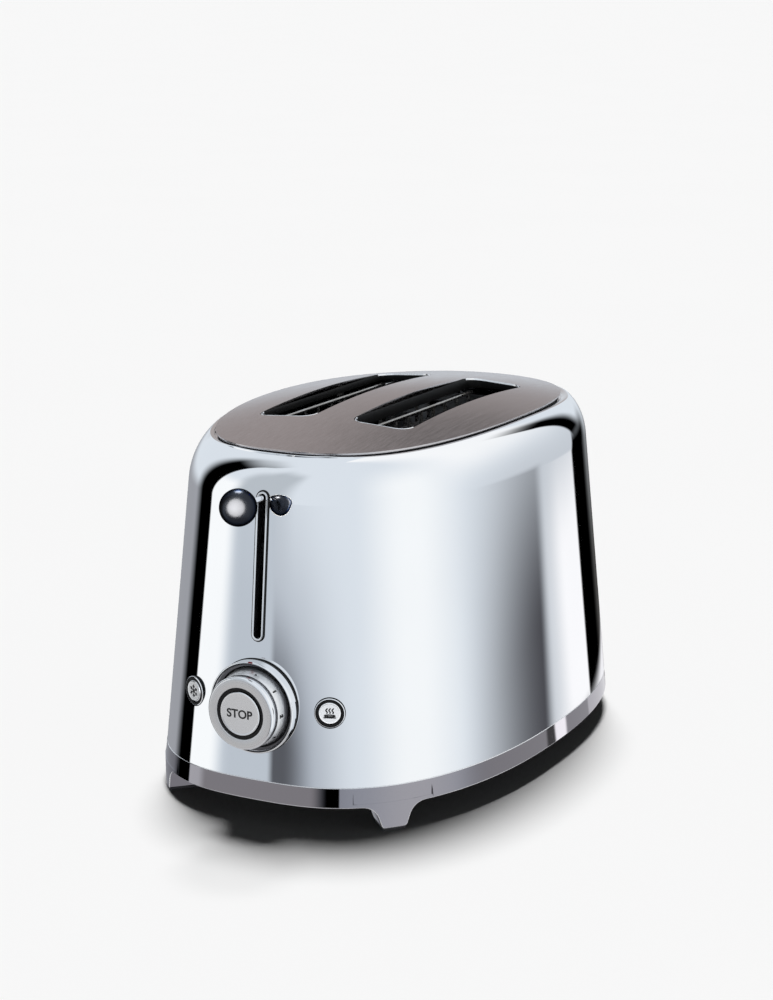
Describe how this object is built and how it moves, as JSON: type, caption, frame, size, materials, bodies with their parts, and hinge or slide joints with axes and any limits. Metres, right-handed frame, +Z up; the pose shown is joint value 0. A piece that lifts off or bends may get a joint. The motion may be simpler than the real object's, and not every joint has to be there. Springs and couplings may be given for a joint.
{
  "type": "toaster",
  "caption": "Retro pop-up toaster with an oval polished shell, crowned top with bread slots, side lever, browning dial, push buttons and a rear crumb tray.",
  "frame": {"origin": "on the floor under the middle of the whole toaster, lever knob and tray lip included", "axes": "+X along the body away from the lever end, +Y across the body, +Z up; the lever, dial and buttons are on the end that faces -X"},
  "size_m": [0.3282, 0.1974, 0.1938],
  "materials": {
    "mirror_chrome": "mirror-polished chromed steel",
    "satin_panel": "satin warm grey metal with a fine grain",
    "satin_ring": "satin grey paint",
    "satin_button": "satin aluminium",
    "black_plastic": "moulded black plastic",
    "black_enamel": "heat-proof black enamel",
    "gasket_rubber": "black rubber",
    "pad_rubber": "grey rubber",
    "sheet_steel": "zinc-plated sheet",
    "bright_wire": "bright drawn wire",
    "mica": "pressed mica sheet",
    "heating_alloy": "dull resistance ribbon",
    "circuit_board": "lacquered circuit board",
    "copper_winding": "lacquered copper wire under clear tape",
    "contact_brass": "bright brass"
  },
  "bodies": {
    "housing": {"body_shell": "mirror_chrome", "top_panel": "satin_panel", "panel_gasket": "gasket_rubber", "slot_liner_left": "black_enamel", "slot_liner_right": "black_enamel", "base_ring": "satin_ring", "foot_pads": "pad_rubber", "base_plate": "sheet_steel", "chassis_floor": "sheet_steel", "tie_posts": "bright_wire", "base_screws": "bright_wire", "slot_trim": "mirror_chrome", "guide_rod": "bright_wire", "rod_bracket": "sheet_steel", "return_spring": "bright_wire", "magnet_core": "sheet_steel", "magnet_coil": "copper_winding", "contact_block": "black_plastic", "contact_leaves": "contact_brass", "front_bulkhead": "sheet_steel", "rear_bulkhead": "sheet_steel", "side_reflector_left": "sheet_steel", "side_reflector_right": "sheet_steel", "centre_divider": "sheet_steel", "heater_board_left_outer": "mica", "heater_board_left_inner": "mica", "heater_board_right_outer": "mica", "heater_board_right_inner": "mica", "heater_ribbon_left_outer": "heating_alloy", "heater_ribbon_left_inner": "heating_alloy", "heater_ribbon_right_outer": "heating_alloy", "heater_ribbon_right_inner": "heating_alloy", "dial_bezel": "mirror_chrome", "dial_encoder": "black_plastic", "defrost_ring": "black_plastic", "reheat_ring": "black_plastic", "control_board": "circuit_board", "push_switches": "black_plastic", "board_parts": "black_plastic", "board_posts": "bright_wire", "tray_rails": "sheet_steel", "terminal_block": "black_plastic", "cord_gland": "black_plastic"},
    "lever": {"lever_knob": "mirror_chrome", "lever_arm": "bright_wire", "carriage": "sheet_steel", "keeper": "sheet_steel", "bread_carrier_left": "sheet_steel", "bread_carrier_right": "sheet_steel"},
    "dial": {"dial_knob": "mirror_chrome", "dial_insert": "black_plastic"},
    "stop_key": {"stop_button": "satin_button"},
    "defrost_key": {"defrost_button": "satin_button"},
    "reheat_key": {"reheat_button": "satin_button"},
    "tray": {"crumb_tray": "sheet_steel", "tray_front": "mirror_chrome"},
    "guide_left_outer": {"bread_guide_left_outer": "bright_wire"},
    "guide_left_inner": {"bread_guide_left_inner": "bright_wire"},
    "guide_right_outer": {"bread_guide_right_outer": "bright_wire"},
    "guide_right_inner": {"bread_guide_right_inner": "bright_wire"}
  },
  "joints": [
    {"name": "lever_slide", "type": "slide", "parent": "housing", "child": "lever", "axis": [0, 0, -1], "range_m": [0, 0.067], "stiffness_N_per_m": 60, "springref_m": -0.07, "deforming": ["return_spring"]},
    {"name": "dial_turn", "type": "hinge", "parent": "housing", "child": "dial", "pos_m": [-0.14203, 0, 0.06], "axis": [-1, 0, 0], "range_deg": [0, 250]},
    {"name": "stop_press", "type": "slide", "parent": "housing", "child": "stop_key", "axis": [1, 0, 0], "range_m": [0, 0.0015], "stiffness_N_per_m": 400, "springref_m": -0.001},
    {"name": "defrost_press", "type": "slide", "parent": "housing", "child": "defrost_key", "axis": [0.9205, -0.3907, 0], "range_m": [0, 0.0015], "stiffness_N_per_m": 400, "springref_m": -0.001},
    {"name": "reheat_press", "type": "slide", "parent": "housing", "child": "reheat_key", "axis": [0.9205, 0.3907, 0], "range_m": [0, 0.0015], "stiffness_N_per_m": 400, "springref_m": -0.001},
    {"name": "tray_slide", "type": "slide", "parent": "housing", "child": "tray", "axis": [1, 0, 0], "range_m": [0, 0.2]},
    {"name": "guide_left_outer_slide", "type": "slide", "parent": "housing", "child": "guide_left_outer", "axis": [0, -1, 0], "range_m": [0, 0.0082]},
    {"name": "guide_left_inner_slide", "type": "slide", "parent": "housing", "child": "guide_left_inner", "axis": [0, 1, 0], "range_m": [0, 0.0082]},
    {"name": "guide_right_outer_slide", "type": "slide", "parent": "housing", "child": "guide_right_outer", "axis": [0, 1, 0], "range_m": [0, 0.0082]},
    {"name": "guide_right_inner_slide", "type": "slide", "parent": "housing", "child": "guide_right_inner", "axis": [0, -1, 0], "range_m": [0, 0.0082]}
  ],
  "couplings": [
    {"joint": "guide_left_outer_slide", "follows": "lever_slide", "ratio": 0.1194},
    {"joint": "guide_left_inner_slide", "follows": "lever_slide", "ratio": 0.1194},
    {"joint": "guide_right_outer_slide", "follows": "lever_slide", "ratio": 0.1194},
    {"joint": "guide_right_inner_slide", "follows": "lever_slide", "ratio": 0.1194}
  ]
}
